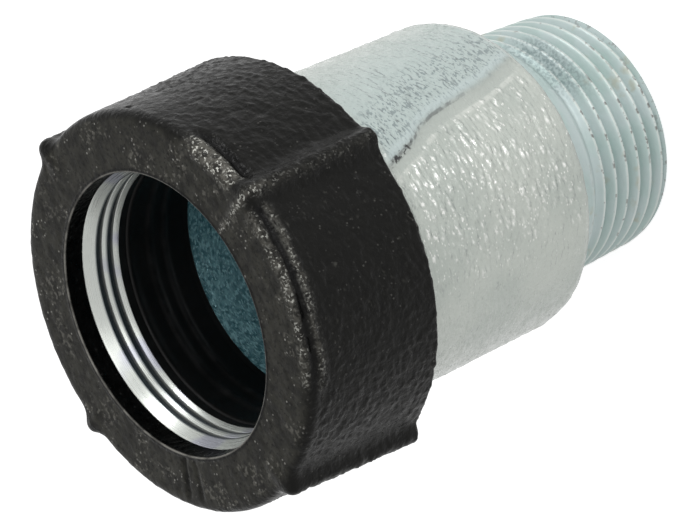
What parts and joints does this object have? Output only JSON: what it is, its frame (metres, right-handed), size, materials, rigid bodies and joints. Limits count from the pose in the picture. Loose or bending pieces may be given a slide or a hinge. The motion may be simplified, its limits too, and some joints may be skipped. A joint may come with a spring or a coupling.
{
  "type": "compression pipe coupling",
  "caption": "Compression repair coupling: a cast body with a male taper pipe thread at one end and a ribbed union nut that clamps a plain pipe end at the other.",
  "frame": {"origin": "centre of the threaded end's face, at the foot of the part as it stands", "axes": "+Z along the pipe axis, out of the pipe mouth; -Y is the side that the picture shows; one rib of the nut is at 70 degrees from +X towards -Y"},
  "size_m": [0.0526, 0.0526, 0.0732],
  "materials": {
    "galvanised_body": "hot-dip galvanised rough casting",
    "black_nut": "black coated rough casting, slightly glossy",
    "zinc_ring": "bright zinc plated",
    "dark_ring": "dark plated",
    "black_rubber": "matt moulded rubber"
  },
  "bodies": {
    "fitting_body": {"body": "galvanised_body", "sealing_ring": "black_rubber", "pressure_ring": "dark_ring"},
    "clamp": {"clamping_ring": "zinc_ring"},
    "nut": {"union_nut": "black_nut"}
  },
  "joints": [
    {"name": "ring_travel", "type": "slide", "parent": "fitting_body", "child": "clamp", "axis": [0, 0, 1], "range_m": [0, 0.00693]},
    {"name": "nut_turn", "type": "hinge", "parent": "clamp", "child": "nut", "pos_m": [0, 0, 0.063], "axis": [0, 0, 1], "range_deg": [0, 1080]}
  ],
  "couplings": [
    {"joint": "ring_travel", "follows": "nut_turn", "m_per_rad": 0.00036749}
  ]
}
